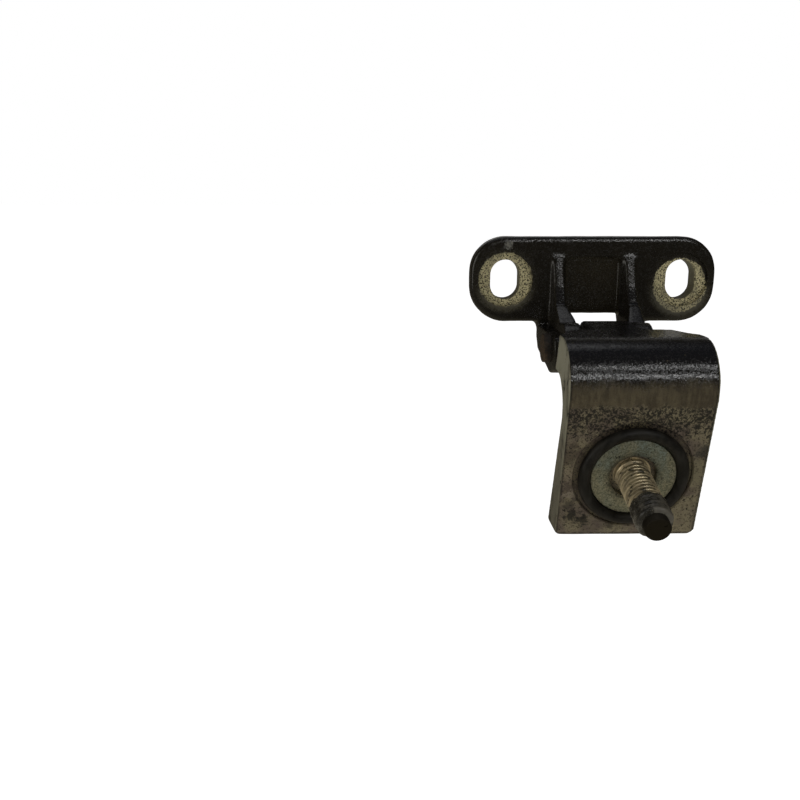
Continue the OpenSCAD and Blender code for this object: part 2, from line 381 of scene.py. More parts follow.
@dataclass
class Graph:
    """Adds and links shader nodes in one tree."""

    tree: bpy.types.NodeTree

    def add(self, kind: str, **settings: object) -> bpy.types.Node:
        """Adds a node of this type with these settings.

        Args:
            kind: Blender's name for the node type.
            settings: the node's properties.

        Returns:
            The new node.
        """
        node = self.tree.nodes.new(kind)
        for name, value in settings.items():
            setattr(node, name, value)
        return node

    def feed(self, source: object, target: Socket) -> None:
        """Links a socket to an input, or sets the input to a plain value.

        Args:
            source: a socket, a plain value, or None to leave the input alone.
            target: the input.
        """
        if isinstance(source, Socket):
            self.tree.links.new(source, target)
        elif source is not None:
            target.default_value = source

    def millimetres(self) -> Socket:
        """The point on the piece, in millimetres of the row frame.

        Returns:
            The vector.
        """
        scale = self.add("ShaderNodeVectorMath", operation="SCALE")
        self.feed(self.add("ShaderNodeTexCoord").outputs["Object"], scale.inputs[0])
        scale.inputs["Scale"].default_value = 1 / MM
        return scale.outputs[0]

    def attribute(self, name: str) -> Socket:
        """A float attribute of the piece's mesh."""
        return self.add("ShaderNodeAttribute", attribute_name=name).outputs["Fac"]

    def axis(self, vector: object, letter: str) -> Socket:
        """One component of a vector.

        Args:
            vector: the vector to read.
            letter: X, Y or Z.

        Returns:
            The component.
        """
        split = self.add("ShaderNodeSeparateXYZ")
        self.feed(vector, split.inputs[0])
        return split.outputs[letter]

    def moved(
        self,
        vector: object,
        offset: Point = (0, 0, 0),
        scale: Point = (1, 1, 1),
        turn: Point = (0, 0, 0),
    ) -> Socket:
        """A vector turned, scaled and shifted by a Mapping node.

        Args:
            vector: the vector to read.
            offset: added after turning and scaling.
            scale: one factor for each axis.
            turn: Euler angles in radians.

        Returns:
            The new vector.
        """
        mapping = self.add("ShaderNodeMapping")
        self.feed(vector, mapping.inputs["Vector"])
        mapping.inputs["Location"].default_value = offset
        mapping.inputs["Rotation"].default_value = turn
        mapping.inputs["Scale"].default_value = scale
        return mapping.outputs[0]

    def length(self, vector: object) -> Socket:
        """The length of a vector.

        Args:
            vector: the vector to read.

        Returns:
            The length.
        """
        node = self.add("ShaderNodeVectorMath", operation="LENGTH")
        self.feed(vector, node.inputs[0])
        return node.outputs["Value"]

    def sum_of(self, a: object, b: object) -> Socket:
        """a plus b."""
        return self.math("ADD", a, b)

    def minus(self, a: object, b: object) -> Socket:
        """a minus b."""
        return self.math("SUBTRACT", a, b)

    def times(self, a: object, b: object) -> Socket:
        """a times b."""
        return self.math("MULTIPLY", a, b)

    def larger(self, a: object, b: object) -> Socket:
        """The larger of a and b."""
        return self.math("MAXIMUM", a, b)

    def swing(self, value: object, height: float) -> Socket:
        """A noise value turned into a swing about zero, of this full height."""
        return self.times(self.minus(value, 0.5), height)

    def distance(self, point: object, centre: Point) -> Socket:
        """The distance from a centre."""
        return self.length(self.moved(point, tuple(-c for c in centre)))

    def grains(self, point: object, scale: float, cover: object) -> Socket:
        """The shared speckle at this scale and cover."""
        return self.group(SPECKLE, Vector=point, Scale=scale, Cover=cover)

    def peel(self, point: object, coarse: float, fine: float, share: float) -> Socket:
        """The shared orange peel with these values."""
        return self.group(PEEL, Vector=point, Coarse=coarse, Fine=fine, Share=share)

    def math(self, operation: str, a: object, b: object = None) -> Socket:
        """A Math node on one or two values.

        Args:
            operation: Blender's name for the operation.
            a: the first value.
            b: the second value, if any.

        Returns:
            The result.
        """
        node = self.add("ShaderNodeMath", operation=operation)
        self.feed(a, node.inputs[0])
        self.feed(b, node.inputs[1])
        return node.outputs[0]

    def noise(
        self, vector: object, scale: object, detail: float = 3.0, rough: float = 0.55
    ) -> Socket:
        """A noise value from about 0.25 to 0.75.

        Args:
            vector: where to read the noise.
            scale: lumps per millimetre.
            detail: octaves of finer noise.
            rough: how strong the finer octaves are.

        Returns:
            The noise value.
        """
        node = self.add("ShaderNodeTexNoise")
        self.feed(vector, node.inputs["Vector"])
        self.feed(scale, node.inputs["Scale"])
        node.inputs["Detail"].default_value = detail
        node.inputs["Roughness"].default_value = rough
        return node.outputs["Fac"]

    def ease(
        self, value: object, low: object, high: object, start: object = 0.0, end: object = 1.0
    ) -> Socket:
        """A smooth step from start to end while value goes from low to high.

        Args:
            value: the value that moves the step.
            low: where the step starts.
            high: where it ends.
            start: the result below low.
            end: the result above high.

        Returns:
            The eased value.
        """
        node = self.add("ShaderNodeMapRange", interpolation_type="SMOOTHSTEP")
        names = ("Value", "From Min", "From Max", "To Min", "To Max")
        for name, source in zip(names, (value, low, high, start, end)):
            self.feed(source, node.inputs[name])
        return node.outputs["Result"]

    def fade(self, value: object, low: object, high: object, start: float = 1.0) -> Socket:
        """A smooth step from start down to 0 while value goes from low to high."""
        return self.ease(value, low, high, start, 0.0)

    def blend(self, share: object, first: object, second: object) -> Socket:
        """A colour between two, as sockets or plain colours.

        Args:
            share: how much of the second, from 0 to 1.
            first: the result at 0.
            second: the result at 1.

        Returns:
            The mixed colour.
        """
        node = self.add("ShaderNodeMix", data_type="RGBA", clamp_factor=True)
        self.feed(share, node.inputs[0])
        for source, socket in ((first, node.inputs[6]), (second, node.inputs[7])):
            self.feed((*source, 1.0) if isinstance(source, tuple) else source, socket)
        return node.outputs[2]

    def between(self, share: object, first: object, second: object) -> Socket:
        """A number between two.

        Args:
            share: how much of the second, from 0 to 1.
            first: the result at 0.
            second: the result at 1.

        Returns:
            The mixed number.
        """
        node = self.add("ShaderNodeMix", data_type="FLOAT", clamp_factor=True)
        self.feed(share, node.inputs[0])
        self.feed(first, node.inputs[2])
        self.feed(second, node.inputs[3])
        return node.outputs[0]

    def group(self, shared: "SharedPattern", **inputs: object) -> Socket:
        """Places a shared pattern with its own input values.

        Args:
            shared: the pattern.
            inputs: values or sockets for its inputs.

        Returns:
            The group's only output.
        """
        node = self.add("ShaderNodeGroup")
        node.node_tree = shared.tree()
        for name, value in inputs.items():
            self.feed(value, node.inputs[name])
        return node.outputs[0]


class SharedPattern:
    """A pattern that several finishes use, as a shader node group built once."""

    name = "pattern"
    inputs: tuple[tuple[str, str, float], ...] = ()
    output = "Mask"

    def tree(self) -> bpy.types.NodeTree:
        """The group, built on first use.

        Returns:
            The node group.
        """
        found = bpy.data.node_groups.get(self.name)
        if found is not None:
            return found
        tree = bpy.data.node_groups.new(self.name, "ShaderNodeTree")
        tree.interface.new_socket("Vector", in_out="INPUT", socket_type="NodeSocketVector")
        for name, kind, value in self.inputs:
            socket = tree.interface.new_socket(name, in_out="INPUT", socket_type=kind)
            socket.default_value = value
        tree.interface.new_socket(self.output, in_out="OUTPUT", socket_type="NodeSocketFloat")
        graph = Graph(tree)
        source = graph.add("NodeGroupInput")
        target = graph.add("NodeGroupOutput")
        graph.feed(self.draw(graph, source.outputs), target.inputs[0])
        return tree

    def draw(self, graph: Graph, given: bpy.types.NodeOutputs) -> Socket:
        """Builds the pattern inside the group and returns its value."""
        raise NotImplementedError


class Speckle(SharedPattern):
    """Grains of random size: 1 on a grain and 0 between them."""

    name = "speckle"
    inputs = (("Scale", "NodeSocketFloat", 2.0), ("Cover", "NodeSocketFloat", 0.5))

    def draw(self, graph: Graph, given: bpy.types.NodeOutputs) -> Socket:
        """Grains where a fine noise passes a level set by Cover.

        Args:
            graph: the tree to draw in.
            given: the group's own inputs.

        Returns:
            The mask.
        """
        highest, span, edge = 0.78, 0.56, 0.07
        grains = graph.noise(given["Vector"], given["Scale"], detail=2.0, rough=0.7)
        level = graph.minus(highest, graph.times(given["Cover"], span))
        return graph.ease(grains, level, graph.sum_of(level, edge))


class Peel(SharedPattern):
    """The height of orange-peel paint over a rough casting."""

    name = "orange_peel"
    inputs = (
        ("Coarse", "NodeSocketFloat", 0.9),
        ("Fine", "NodeSocketFloat", 3.0),
        ("Share", "NodeSocketFloat", 0.4),
    )
    output = "Height"

    def draw(self, graph: Graph, given: bpy.types.NodeOutputs) -> Socket:
        """A coarse and a fine noise, mixed by Share.

        Args:
            graph: the tree to draw in.
            given: the group's own inputs.

        Returns:
            The height.
        """
        coarse = graph.noise(given["Vector"], given["Coarse"], detail=2.0)
        fine = graph.noise(given["Vector"], given["Fine"], detail=3.0, rough=0.65)
        return graph.between(given["Share"], coarse, fine)


class Stains(SharedPattern):
    """Large soft blotches, stretched along Z."""

    name = "stains"
    inputs = (("Scale", "NodeSocketFloat", 0.2),)

    def draw(self, graph: Graph, given: bpy.types.NodeOutputs) -> Socket:
        """A broad noise whose contrast is raised."""
        drawn = graph.moved(given["Vector"], scale=(1.0, 1.0, 0.55))
        return graph.ease(graph.noise(drawn, given["Scale"], detail=4.0, rough=0.6), 0.38, 0.62)


SPECKLE = Speckle()
PEEL = Peel()
STAINS = Stains()


@dataclass(frozen=True)
class Finish:
    """A finish: a named material and how its surface is drawn."""

    name: str

    def material(self) -> bpy.types.Material:
        """The material, built on first use.

        Returns:
            The material.
        """
        found = bpy.data.materials.get(self.name)
        if found is not None:
            return found
        made = bpy.data.materials.new(self.name)
        made.use_nodes = True
        graph = Graph(made.node_tree)
        shader = made.node_tree.nodes["Principled BSDF"]
        self.draw(graph, shader.inputs)
        return made

    def draw(self, graph: Graph, surface: Sockets) -> None:
        """Feeds the shader's sockets."""
        raise NotImplementedError

    @staticmethod
    def bump(
        graph: Graph, surface: Sockets, height: object, strength: float, distance: float
    ) -> None:
        """Feeds Normal from a height, in metres of relief.

        Args:
            graph: the tree to draw in.
            surface: the shader's inputs.
            height: the relief, from 0 to 1.
            strength: the bump's strength.
            distance: metres of relief for a height of 1.
        """
        node = graph.add("ShaderNodeBump")
        node.inputs["Strength"].default_value = strength
        node.inputs["Distance"].default_value = distance
        graph.feed(height, node.inputs["Height"])
        graph.feed(node.outputs[0], surface["Normal"])


@dataclass(frozen=True)
class CastingPaint(Finish):
    """Gloss black over a rough casting, bare metal in the machined slot seats."""

    paint: Rgb = (0.0056, 0.0049, 0.0039)
    dust: Rgb = (0.0165, 0.0135, 0.0082)
    pocket_dust: Rgb = (0.024, 0.0195, 0.011)
    pocket_x: float = 8.2
    pocket_z: float = 6.8
    pocket_y: float = -5.2
    bare: Rgb = (0.53, 0.47, 0.265)
    bare_dark: Rgb = (0.03, 0.026, 0.014)
    wall: Rgb = (0.17, 0.155, 0.095)
    primer: Rgb = (0.12, 0.115, 0.095)
    halo: Rgb = (0.10, 0.09, 0.055)
    slot_x: float = 25.0
    right_drift: tuple[float, float] = (-0.2, -1.6)
    seat_r: float = 7.45
    seat_y: float = -6.05
    floor_y: float = -5.3
    back_y: float = -0.25
    chip_at: Point = (-24.3, -6.5, 9.7)
    chip_r: float = 1.35
    seat_ragged: float = 1.3
    seat_edge: float = 0.35
    wall_fade: float = 0.7
    halo_w: float = 2.6
    wear_range: tuple[float, float] = (0.16, 0.34)
    gloss: float = 0.11
    dusty_gloss: float = 0.2
    grain_gloss: float = 0.28
    matt: float = 0.6
    relief: float = 0.085 * MM

    def seat_radius(self, graph: Graph, point: Socket) -> Socket:
        """The distance from the nearer slot's middle, seen from the front, made ragged.

        Args:
            graph: the tree to draw in.
            point: the place on the piece, in millimetres.

        Returns:
            The distance in millimetres.
        """
        x = graph.axis(point, "X")
        right = graph.ease(x, -1.0, 1.0)
        drift_x, drift_z = (graph.times(right, drift) for drift in self.right_drift)
        flat = graph.add("ShaderNodeCombineXYZ")
        fold = graph.minus(graph.math("ABSOLUTE", x), self.slot_x)
        graph.feed(graph.minus(fold, drift_x), flat.inputs["X"])
        graph.feed(graph.minus(graph.axis(point, "Z"), drift_z), flat.inputs["Z"])
        ragged = graph.swing(graph.noise(point, 0.8, detail=5.0), self.seat_ragged)
        return graph.sum_of(graph.length(flat.outputs[0]), ragged)

    def in_pocket(self, graph: Graph, point: Socket) -> Socket:
        """1 on the floor and walls of the pocket.

        Args:
            graph: the tree to draw in.
            point: the place on the piece, in millimetres.

        Returns:
            The mask.
        """
        soft = 0.5
        across = graph.math("ABSOLUTE", graph.axis(point, "X"))
        height = graph.axis(point, "Z")
        depth = graph.axis(point, "Y")
        side = graph.fade(across, self.pocket_x - soft, self.pocket_x + soft)
        below = graph.fade(height, self.pocket_z - soft, self.pocket_z + soft)
        behind = graph.ease(depth, self.pocket_y - 0.6, self.pocket_y + 0.3)
        before = graph.fade(depth, self.back_y - 0.8, self.back_y)
        inside = graph.times(graph.times(side, below), behind)
        return graph.times(inside, before)

    def bare_metal(self, graph: Graph, point: Socket, pits: Socket) -> Socket:
        """The colour of the seats and of the slots' walls.

        Args:
            graph: the tree to draw in.
            point: the place on the piece, in millimetres.
            pits: 1 in a pit and 0 on metal.

        Returns:
            The colour.
        """
        shade = graph.noise(point, 0.45, detail=4.0)
        metal = graph.blend(pits, self.bare, self.bare_dark)
        metal = graph.blend(graph.ease(shade, 0.45, 0.7, 0.0, 0.6), metal, self.wall)
        behind = graph.ease(graph.axis(point, "Y"), self.floor_y, self.floor_y + self.wall_fade)
        return graph.blend(behind, metal, self.wall)

    def worn_spots(self, graph: Graph, point: Socket) -> Socket:
        """Where the paint has gone: the rubbed edges and the one large chip.

        Args:
            graph: the tree to draw in.
            point: the place on the piece, in millimetres.

        Returns:
            The mask.
        """
        ragged = graph.times(graph.noise(point, 1.1, detail=3.0), 1.6)
        reach = graph.sum_of(graph.distance(point, self.chip_at), ragged)
        chip = graph.fade(reach, self.chip_r + 0.6, self.chip_r + 0.9)
        rub = graph.ease(graph.attribute("edge_wear"), *self.wear_range)
        rubbed = graph.times(rub, graph.grains(point, 0.7, 0.36))
        chipped = graph.times(chip, graph.sum_of(graph.grains(point, 1.8, 0.5), 0.3))
        return graph.larger(rubbed, chipped)

    def draw(self, graph: Graph, surface: Sockets) -> None:
        """Paint with dust, chips and worn edges, then the bare seats.

        Args:
            graph: the tree to draw in.
            surface: the shader's inputs.
        """
        point = graph.millimetres()
        depth = graph.axis(point, "Y")
        radius = self.seat_radius(graph, point)
        deep = graph.ease(depth, self.seat_y - 0.6, self.seat_y - 0.25)
        deep = graph.times(deep, graph.fade(depth, self.back_y - 0.3, self.back_y))
        round_seat = graph.fade(radius, self.seat_r, self.seat_r + self.seat_edge)
        seat = graph.times(round_seat, deep)
        dusty = graph.times(graph.noise(point, 0.25, detail=5.0), 0.5)
        colour = graph.blend(dusty, self.paint, self.dust)
        patchy = graph.noise(point, 0.6, detail=5.0, rough=0.7)
        sheltered = graph.times(self.in_pocket(graph, point), patchy)
        colour = graph.blend(sheltered, colour, self.pocket_dust)
        lower = graph.ease(graph.axis(point, "Z"), -8.0, 0.0, 1.0, 0.12)
        front = graph.fade(depth, self.floor_y, self.floor_y + self.wall_fade)
        near = graph.fade(radius, self.seat_r - 0.2, self.seat_r + self.halo_w, 0.6)
        glow = graph.times(graph.times(near, lower), front)
        colour = graph.blend(glow, colour, self.halo)
        worn = self.worn_spots(graph, point)
        colour = graph.blend(worn, colour, self.primer)
        pits = graph.grains(point, 2.3, 0.5)
        metal = self.bare_metal(graph, point, pits)
        graph.feed(graph.blend(seat, colour, metal), surface["Base Color"])
        gloss = graph.between(dusty, self.gloss, self.dusty_gloss)
        gloss = graph.between(graph.grains(point, 1.5, 0.5), gloss, self.grain_gloss)
        gloss = graph.between(worn, gloss, self.matt)
        gloss = graph.between(glow, gloss, self.matt)
        graph.feed(graph.between(seat, gloss, self.matt), surface["Roughness"])
        graph.feed(graph.times(seat, 0.3), surface["Metallic"])
        paint_height = graph.minus(graph.peel(point, 0.5, 1.7, 0.7), graph.times(worn, 0.4))
        height = graph.between(seat, paint_height, graph.minus(0.9, pits))
        self.bump(graph, surface, height, 1.0, self.relief)


@dataclass(frozen=True)
class Blotch:
    """A ragged patch on the leaf, in millimetres of the row frame."""

    at: Point
    radius: float
    tint: Rgb
    strength: float = 0.8


@dataclass(frozen=True)
class WornLeafPaint(Finish):
    """Gloss black on the bend that wears through to dull bare steel on the flat."""

    paint: Rgb = (0.0075, 0.0068, 0.0058)
    thin: Rgb = (0.110, 0.090, 0.052)
    streak: Rgb = (0.062, 0.049, 0.029)
    bare: Rgb = (0.195, 0.165, 0.098)
    purple: Rgb = (0.120, 0.093, 0.068)
    edge: Rgb = (0.22, 0.205, 0.145)
    end: Rgb = (0.235, 0.222, 0.155)
    end_dark: Rgb = (0.085, 0.071, 0.046)
    # Dark of the soot flecks and grit; also the colour of the painted shade along the leaf's edges.
    soot_and_edge_shade: Rgb = (0.009, 0.008, 0.0055)
    half_width: float = 17.3
    paint_z: float = -18.8
    thin_z: float = -24.4
    soot_z: float = -31.5
    foot_z: float = -58.7
    wander: float = 4.0
    drawn: float = 2.4
    # Strength of the painted shade line along the edges.
    painted_edge_shade: float = 0.7
    wear_range: tuple[float, float] = (0.12, 0.3)
    gloss: float = 0.09
    grain_gloss: float = 0.34
    thin_gloss: float = 0.36
    bare_gloss: float = 0.55
    end_gloss: float = 0.6
    relief: float = 0.075 * MM
    blotches: tuple[Blotch, ...] = (
        Blotch((-13.6, -52.7, -53.6), 2.0, (0.009, 0.008, 0.0055), 0.85),
        Blotch((-11.0, -52.4, -54.7), 1.5, (0.009, 0.008, 0.0055), 0.8),
        Blotch((-4.0, -52.2, -55.6), 1.2, (0.012, 0.010, 0.007), 0.6),
        Blotch((15.9, -57.1, -36.4), 2.0, (0.02, 0.02, 0.017), 0.7),
        Blotch((-15.3, -57.1, -36.6), 3.0, (0.052, 0.036, 0.026), 0.7),
        Blotch((-15.1, -54.6, -45.9), 4.0, (0.060, 0.042, 0.034), 0.75),
        Blotch((14.7, -56.1, -41.5), 3.0, (0.17, 0.15, 0.085), 0.7),
        Blotch((-14.8, -54.0, -47.6), 1.6, (0.24, 0.20, 0.14), 0.6),
        Blotch((-15.4, -55.6, -42.2), 2.0, (0.21, 0.17, 0.11), 0.6),
        Blotch((-14.6, -53.4, -50.2), 2.0, (0.022, 0.018, 0.012), 0.6),
    )

    def zones(self, graph: Graph, point: Socket) -> tuple[Socket, ...]:
        """How painted, how far below the thin paint and how far below the soot a point is.

        Args:
            graph: the tree to draw in.
            point: the place on the piece, in millimetres.

        Returns:
            The three shares, from 0 to 1.
        """
        wander = graph.swing(graph.noise(point, 0.22, detail=4.0), self.wander)
        streaks = graph.moved(point, scale=(1.0, 0.2, 0.2))
        drawn = graph.swing(graph.noise(streaks, 1.1, detail=5.0, rough=0.7), self.drawn)
        height = graph.sum_of(graph.sum_of(graph.axis(point, "Z"), wander), drawn)
        return (
            graph.ease(height, self.paint_z - 2.4, self.paint_z + 1.6),
            graph.fade(height, self.thin_z - 0.6, self.thin_z + 0.8),
            graph.fade(height, self.soot_z - 3.0, self.soot_z + 2.5),
        )

    def flat_colour(self, graph: Graph, point: Socket, clean: object) -> tuple[Socket, ...]:
        """The bare flat's colour and how dirty it is.

        Args:
            graph: the tree to draw in.
            point: the place on the piece, in millimetres.
            clean: 1 below the sooty band.

        Returns:
            The colour, and 1 where there is dirt.
        """
        stains = graph.noise(point, 0.16, detail=5.0, rough=0.6)
        fine_stains = graph.noise(point, 0.7, detail=4.0, rough=0.65)
        bare = graph.blend(graph.ease(stains, 0.4, 0.62), self.bare, self.purple)
        bare = graph.blend(graph.ease(fine_stains, 0.48, 0.72, 0.0, 0.7), bare, self.thin)
        for blotch in self.blotches:
            size = blotch.radius
            ragged = graph.swing(fine_stains, 5.0 * size)
            reach = graph.sum_of(graph.distance(point, blotch.at), ragged)
            spot = graph.fade(reach, 0.5 * size, 1.3 * size, blotch.strength)
            bare = graph.blend(spot, bare, blotch.tint)
        fleck = graph.grains(point, 1.4, graph.between(clean, 0.56, 0.29))
        fine_fleck = graph.grains(point, 2.4, graph.between(clean, 0.5, 0.38))
        dirt = graph.larger(fleck, graph.times(fine_fleck, 0.75))
        return graph.blend(graph.times(dirt, 0.9), bare, self.soot_and_edge_shade), dirt

    def end_colour(self, graph: Graph, point: Socket) -> Socket:
        """The sawn ends: pale with a column of dark specks and stains.

        Args:
            graph: the tree to draw in.
            point: the place on the piece, in millimetres.

        Returns:
            The colour.
        """
        drawn = graph.moved(point, scale=(1.0, 1.0, 0.35))
        column = graph.ease(graph.noise(drawn, 0.33, detail=3.0), 0.5, 0.66)
        grit = graph.grains(drawn, 1.7, graph.between(column, 0.22, 0.48))
        pale = graph.blend(graph.times(column, 0.6), self.end, self.end_dark)
        lower = graph.fade(graph.axis(point, "Z"), -50.0, -22.0, 0.6)
        pale = graph.blend(lower, pale, self.end_dark)
        return graph.blend(graph.times(grit, 0.8), pale, self.soot_and_edge_shade)

    def front_colour(
        self, graph: Graph, point: Socket, zones: tuple[Socket, ...], flat: Socket
    ) -> Socket:
        """Paint, thin paint and bare flat, with a dark line painted as shade along the side and bottom edges,
        nicks and rubbed edges.

        Args:
            graph: the tree to draw in.
            point: the place on the piece, in millimetres.
            zones: the three shares that zones returns.
            flat: the bare flat's colour.

        Returns:
            The colour.
        """
        painted, below_thin, _ = zones
        streaks = graph.moved(point, scale=(1.0, 0.3, 0.3))
        streaky = graph.ease(graph.noise(streaks, 0.9, detail=4.0), 0.36, 0.64)
        front = graph.blend(below_thin, graph.blend(streaky, self.thin, self.streak), flat)
        front = graph.blend(painted, front, self.paint)
        across = graph.math("ABSOLUTE", graph.axis(point, "X"))
        height = graph.axis(point, "Z")
        # Painted shade: a thin dark line along the side edges of the front, where it turns to the sawn ends, and
        # along the bottom edge, broken up by the streaks.
        painted_edge_shade = graph.larger(
            graph.ease(across, self.half_width - 1.0, self.half_width - 0.5, 0.0, self.painted_edge_shade),
            graph.fade(height, self.foot_z, self.foot_z + 0.8, self.painted_edge_shade),
        )
        painted_edge_shade = graph.times(painted_edge_shade, graph.ease(streaky, 0.0, 0.7, 0.3, 1.0))
        front = graph.blend(painted_edge_shade, front, self.soot_and_edge_shade)
        nicks = graph.times(graph.grains(point, 0.9, 0.14), graph.times(painted, 0.5))
        front = graph.blend(nicks, front, self.thin)
        rub = graph.ease(graph.attribute("edge_wear"), *self.wear_range)
        patchy = graph.ease(graph.noise(point, 0.5, detail=4.0), 0.36, 0.56, 0.1, 0.85)
        return graph.blend(graph.times(rub, patchy), front, self.edge)

    def draw(self, graph: Graph, surface: Sockets) -> None:
        """Zones down the front, the sawn ends, and worn edges.

        Args:
            graph: the tree to draw in.
            surface: the shader's inputs.
        """
        point = graph.millimetres()
        zones = self.zones(graph, point)
        painted, below_thin, clean = zones
        flat, dirt = self.flat_colour(graph, point, clean)
        front = self.front_colour(graph, point, zones, flat)
        across = graph.math("ABSOLUTE", graph.axis(point, "X"))
        sawn = graph.ease(across, self.half_width - 0.42, self.half_width - 0.25)
        end = self.end_colour(graph, point)
        graph.feed(graph.blend(sawn, front, end), surface["Base Color"])
        gloss = graph.between(graph.grains(point, 1.5, 0.5), self.gloss, self.grain_gloss)
        bare_gloss = graph.between(below_thin, self.thin_gloss, self.bare_gloss)
        gloss = graph.between(painted, bare_gloss, gloss)
        graph.feed(graph.between(sawn, gloss, self.end_gloss), surface["Roughness"])
        metal = graph.times(graph.minus(1.0, painted), 0.45)
        graph.feed(graph.larger(metal, graph.times(sawn, 0.3)), surface["Metallic"])
        peel = graph.peel(point, 0.5, 1.6, 0.7)
        rough = graph.minus(peel, graph.times(dirt, 0.9))
        self.bump(graph, surface, graph.between(painted, rough, peel), 1.0, self.relief)


@dataclass(frozen=True)
class DirtyMetal(Finish):
    """A bare or plated metal with stains and flecks of dirt."""

    light: Rgb = (0.1, 0.1, 0.06)
    dark: Rgb = (0.05, 0.05, 0.03)
    dirt: Rgb = (0.01, 0.01, 0.007)
    metallic: float = 0.7
    polish: float = 0.38
    fleck_scale: float = 1.5
    fleck_cover: float = 0.3
    stain_scale: float = 0.25
    relief: float = 0.05 * MM

    def draw(self, graph: Graph, surface: Sockets) -> None:
        """Two tones of metal under flecks.

        Args:
            graph: the tree to draw in.
            surface: the shader's inputs.
        """
        point = graph.millimetres()
        stains = graph.group(STAINS, Vector=point, Scale=self.stain_scale)
        fleck = graph.grains(point, self.fleck_scale, self.fleck_cover)
        colour = graph.blend(stains, self.light, self.dark)
        graph.feed(graph.blend(graph.times(fleck, 0.85), colour, self.dirt), surface["Base Color"])
        graph.feed(graph.sum_of(graph.times(stains, 0.14), self.polish), surface["Roughness"])
        surface["Metallic"].default_value = self.metallic
        grain = graph.peel(point, 1.4, 5.0, 0.6)
        self.bump(graph, surface, graph.minus(grain, graph.times(fleck, 0.5)), 0.8, self.relief)


@dataclass(frozen=True)
class PlatedDisc(DirtyMetal):
    """Dull zinc with a cloudy tint, darker round the centre hole."""

    tint: Rgb = (0.07, 0.085, 0.078)
    centre: Point = (0.0, 0.0, 0.0)
    hole_r: float = 5.6

    def draw(self, graph: Graph, surface: Sockets) -> None:
        """Clouds of two tints, a fine grain and a dark rim at the hole.

        Args:
            graph: the tree to draw in.
            surface: the shader's inputs.
        """
        point = graph.millimetres()
        clouds = graph.group(STAINS, Vector=point, Scale=0.12)
        grain = graph.noise(point, 2.4, detail=3.0, rough=0.75)
        radius = graph.distance(point, self.centre)
        # Darker within a few millimetres of the centre hole.
        dark_near_hole = graph.fade(radius, self.hole_r + 0.1, self.hole_r + 2.2, 0.55)
        torn = graph.grains(point, 0.9, 0.36)
        rim = graph.fade(radius, self.hole_r + 0.6, self.hole_r + 1.5, 0.95)
        torn = graph.times(torn, rim)
        colour = graph.blend(clouds, self.light, self.tint)
        colour = graph.blend(graph.ease(grain, 0.34, 0.66), self.dark, colour)
        fleck = graph.grains(point, self.fleck_scale, self.fleck_cover)
        shade = graph.times(dark_near_hole, graph.noise(point, 0.8, detail=3.0))
        dirty = graph.larger(shade, graph.times(fleck, 0.8))
        dirty = graph.larger(dirty, torn)
        graph.feed(graph.blend(dirty, colour, self.dirt), surface["Base Color"])
        graph.feed(graph.between(clouds, self.polish, self.polish + 0.12), surface["Roughness"])
        surface["Metallic"].default_value = self.metallic
        self.bump(graph, surface, grain, 1.0, self.relief)


@dataclass(frozen=True)
class ThreadMetal(DirtyMetal):
    """Yellow-passivated thread: worn crests, and roots painted darker as shade."""

    shaded_root: Rgb = (0.15, 0.118, 0.064)
    to_stud: tuple[tuple[float, float, float, float], ...] = ()
    cap: Rgb = (0.055, 0.048, 0.036)
    black_from: float = 18.4
    crest_r: float = 3.95
    root_r: float = 3.55

    def draw(self, graph: Graph, surface: Sockets) -> None:
        """Colours by the distance from the stud's own axis.

        Args:
            graph: the tree to draw in.
            surface: the shader's inputs.
        """
        point = graph.millimetres()
        turned = Matrix(self.to_stud)
        spin = turned.to_euler()
        local = graph.moved(point, tuple(turned.translation / MM), turn=tuple(spin))
        radial = graph.moved(local, scale=(1.0, 1.0, 0.0))
        crest = graph.ease(graph.length(radial), self.root_r, self.crest_r)
        stains = graph.group(STAINS, Vector=point, Scale=0.35)
        colour = graph.blend(stains, self.light, self.dark)
        # Painted shade: the roots take a darker copy of the thread's colour.
        colour = graph.blend(crest, self.shaded_root, colour)
        smudge = graph.ease(graph.noise(point, 0.55, detail=5.0, rough=0.7), 0.53, 0.62, 0.0, 0.8)
        colour = graph.blend(smudge, colour, self.dirt)
        capped = graph.ease(graph.axis(local, "Z"), self.black_from, self.black_from + 0.6)
        colour = graph.blend(capped, colour, self.cap)
        fleck = graph.grains(point, self.fleck_scale, self.fleck_cover)
        graph.feed(graph.blend(graph.times(fleck, 0.75), colour, self.dirt), surface["Base Color"])
        graph.feed(graph.between(crest, 0.6, self.polish), surface["Roughness"])
        graph.feed(graph.between(capped, self.metallic, 1.0), surface["Metallic"])
        self.bump(graph, surface, graph.peel(point, 1.6, 6.0, 0.6), 0.7, self.relief)


@dataclass(frozen=True)
class SoftBlack(Finish):
    """Rubber or dried compound: near black, uneven and half matt."""

    colour: Rgb = (0.0048, 0.0042, 0.0032)
    bloom: Rgb = (0.012, 0.0105, 0.0075)
    matt: float = 0.5
    shine: float = 0.3
    grain: float = 1.6
    relief: float = 0.06 * MM

    def draw(self, graph: Graph, surface: Sockets) -> None:
        """A bloom of dust over black.

        Args:
            graph: the tree to draw in.
            surface: the shader's inputs.
        """
        point = graph.millimetres()
        surface["Specular IOR Level"].default_value = self.shine
        bloom = graph.group(STAINS, Vector=point, Scale=self.grain * 0.3)
        fleck = graph.grains(point, self.grain, 0.3)
        colour = graph.blend(graph.larger(bloom, fleck), self.colour, self.bloom)
        graph.feed(colour, surface["Base Color"])
        graph.feed(graph.between(bloom, self.matt - 0.12, self.matt + 0.1), surface["Roughness"])
        self.bump(graph, surface, graph.peel(point, self.grain, 5.0, 0.4), 0.8, self.relief)


